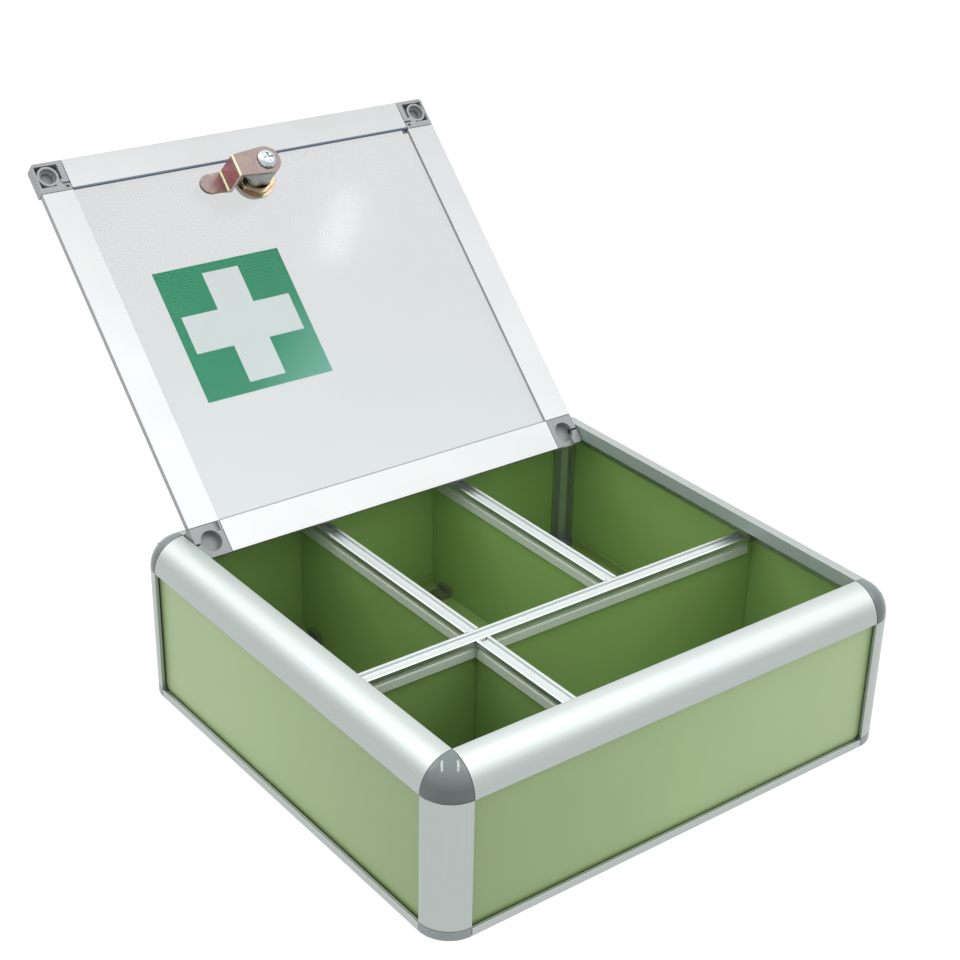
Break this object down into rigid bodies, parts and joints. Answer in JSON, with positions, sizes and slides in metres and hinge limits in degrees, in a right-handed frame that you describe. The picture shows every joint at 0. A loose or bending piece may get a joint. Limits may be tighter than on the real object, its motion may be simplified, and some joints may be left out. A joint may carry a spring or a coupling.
{
  "type": "wall-mounted first aid box",
  "caption": "Shallow wall-mounted first aid box with a rounded aluminium profile frame, a hinged clear lid with a cam lock, and an interior split by dividers.",
  "frame": {"origin": "centre of the back face, the face that goes against the wall", "axes": "+Z out of the wall through the lid side; X along the lid hinge; the hinge is near +Y and the lock near -Y; the lid is drawn open"},
  "size_m": [0.3, 0.4212, 0.2581],
  "materials": {
    "anodised_aluminium": "satin anodised extrusion",
    "lid_aluminium": "bright satin anodised extrusion",
    "green_panel": "sage-green semi-matt coated sheet",
    "grey_plastic": "grey, glossy",
    "black_strip": "black, matt",
    "clear_acrylic": "clear, polished",
    "sticker_film": "printed film, green with a white cross",
    "plain_zinc": "zinc plated",
    "yellow_zinc": "iridescent yellow zinc plated steel",
    "bright_steel": "bright zinc plated"
  },
  "bodies": {
    "box": {"front_top_rail": "anodised_aluminium", "front_bottom_rail": "anodised_aluminium", "front_panel": "green_panel", "front_panel_seal": "black_strip", "right_top_rail": "anodised_aluminium", "right_bottom_rail": "anodised_aluminium", "right_panel": "green_panel", "right_panel_seal": "black_strip", "rear_top_rail": "anodised_aluminium", "rear_bottom_rail": "anodised_aluminium", "rear_panel": "green_panel", "rear_panel_seal": "black_strip", "left_top_rail": "anodised_aluminium", "left_bottom_rail": "anodised_aluminium", "left_panel": "green_panel", "left_panel_seal": "black_strip", "front_left_ball_cap": "grey_plastic", "front_left_post": "anodised_aluminium", "front_left_foot_cap": "grey_plastic", "front_right_ball_cap": "grey_plastic", "front_right_post": "anodised_aluminium", "front_right_foot_cap": "grey_plastic", "rear_left_ball_cap": "grey_plastic", "rear_left_post": "anodised_aluminium", "rear_left_foot_cap": "grey_plastic", "rear_right_ball_cap": "grey_plastic", "rear_right_post": "anodised_aluminium", "rear_right_foot_cap": "grey_plastic", "back_panel": "green_panel", "long_divider_panel": "green_panel", "cross_divider_panel": "green_panel", "rear_divider_panel": "green_panel", "long_divider_capping": "anodised_aluminium", "cross_divider_front_capping": "anodised_aluminium", "cross_divider_rear_capping": "anodised_aluminium", "rear_divider_capping": "anodised_aluminium", "cross_divider_foot_clip": "grey_plastic", "rear_divider_foot_clip": "grey_plastic"},
    "lid": {"lid_frame_free_side": "lid_aluminium", "lid_frame_hinge_side": "lid_aluminium", "lid_frame_right": "lid_aluminium", "lid_frame_left": "lid_aluminium", "lid_corner_free_left": "grey_plastic", "lid_corner_free_right": "grey_plastic", "lid_corner_hinge_left": "grey_plastic", "lid_corner_hinge_right": "grey_plastic", "hinge_pin_left": "bright_steel", "hinge_pin_right": "bright_steel", "lid_window": "clear_acrylic", "cross_sticker": "sticker_film", "lock_body": "plain_zinc", "lock_nut": "yellow_zinc"},
    "lock_barrel": {"lock_plug": "plain_zinc", "lock_cam": "yellow_zinc", "cam_screw": "bright_steel"}
  },
  "joints": [
    {"name": "lid_hinge", "type": "hinge", "parent": "box", "child": "lid", "pos_m": [0, 0.1123, 0.0921], "axis": [1, 0, 0], "range_deg": [0, 135.5]},
    {"name": "lock_turn", "type": "hinge", "parent": "lid", "child": "lock_barrel", "pos_m": [-0.0035, 0.25573, 0.23305], "axis": [0, 0.7009, -0.7133], "range_deg": [0, 90]}
  ]
}
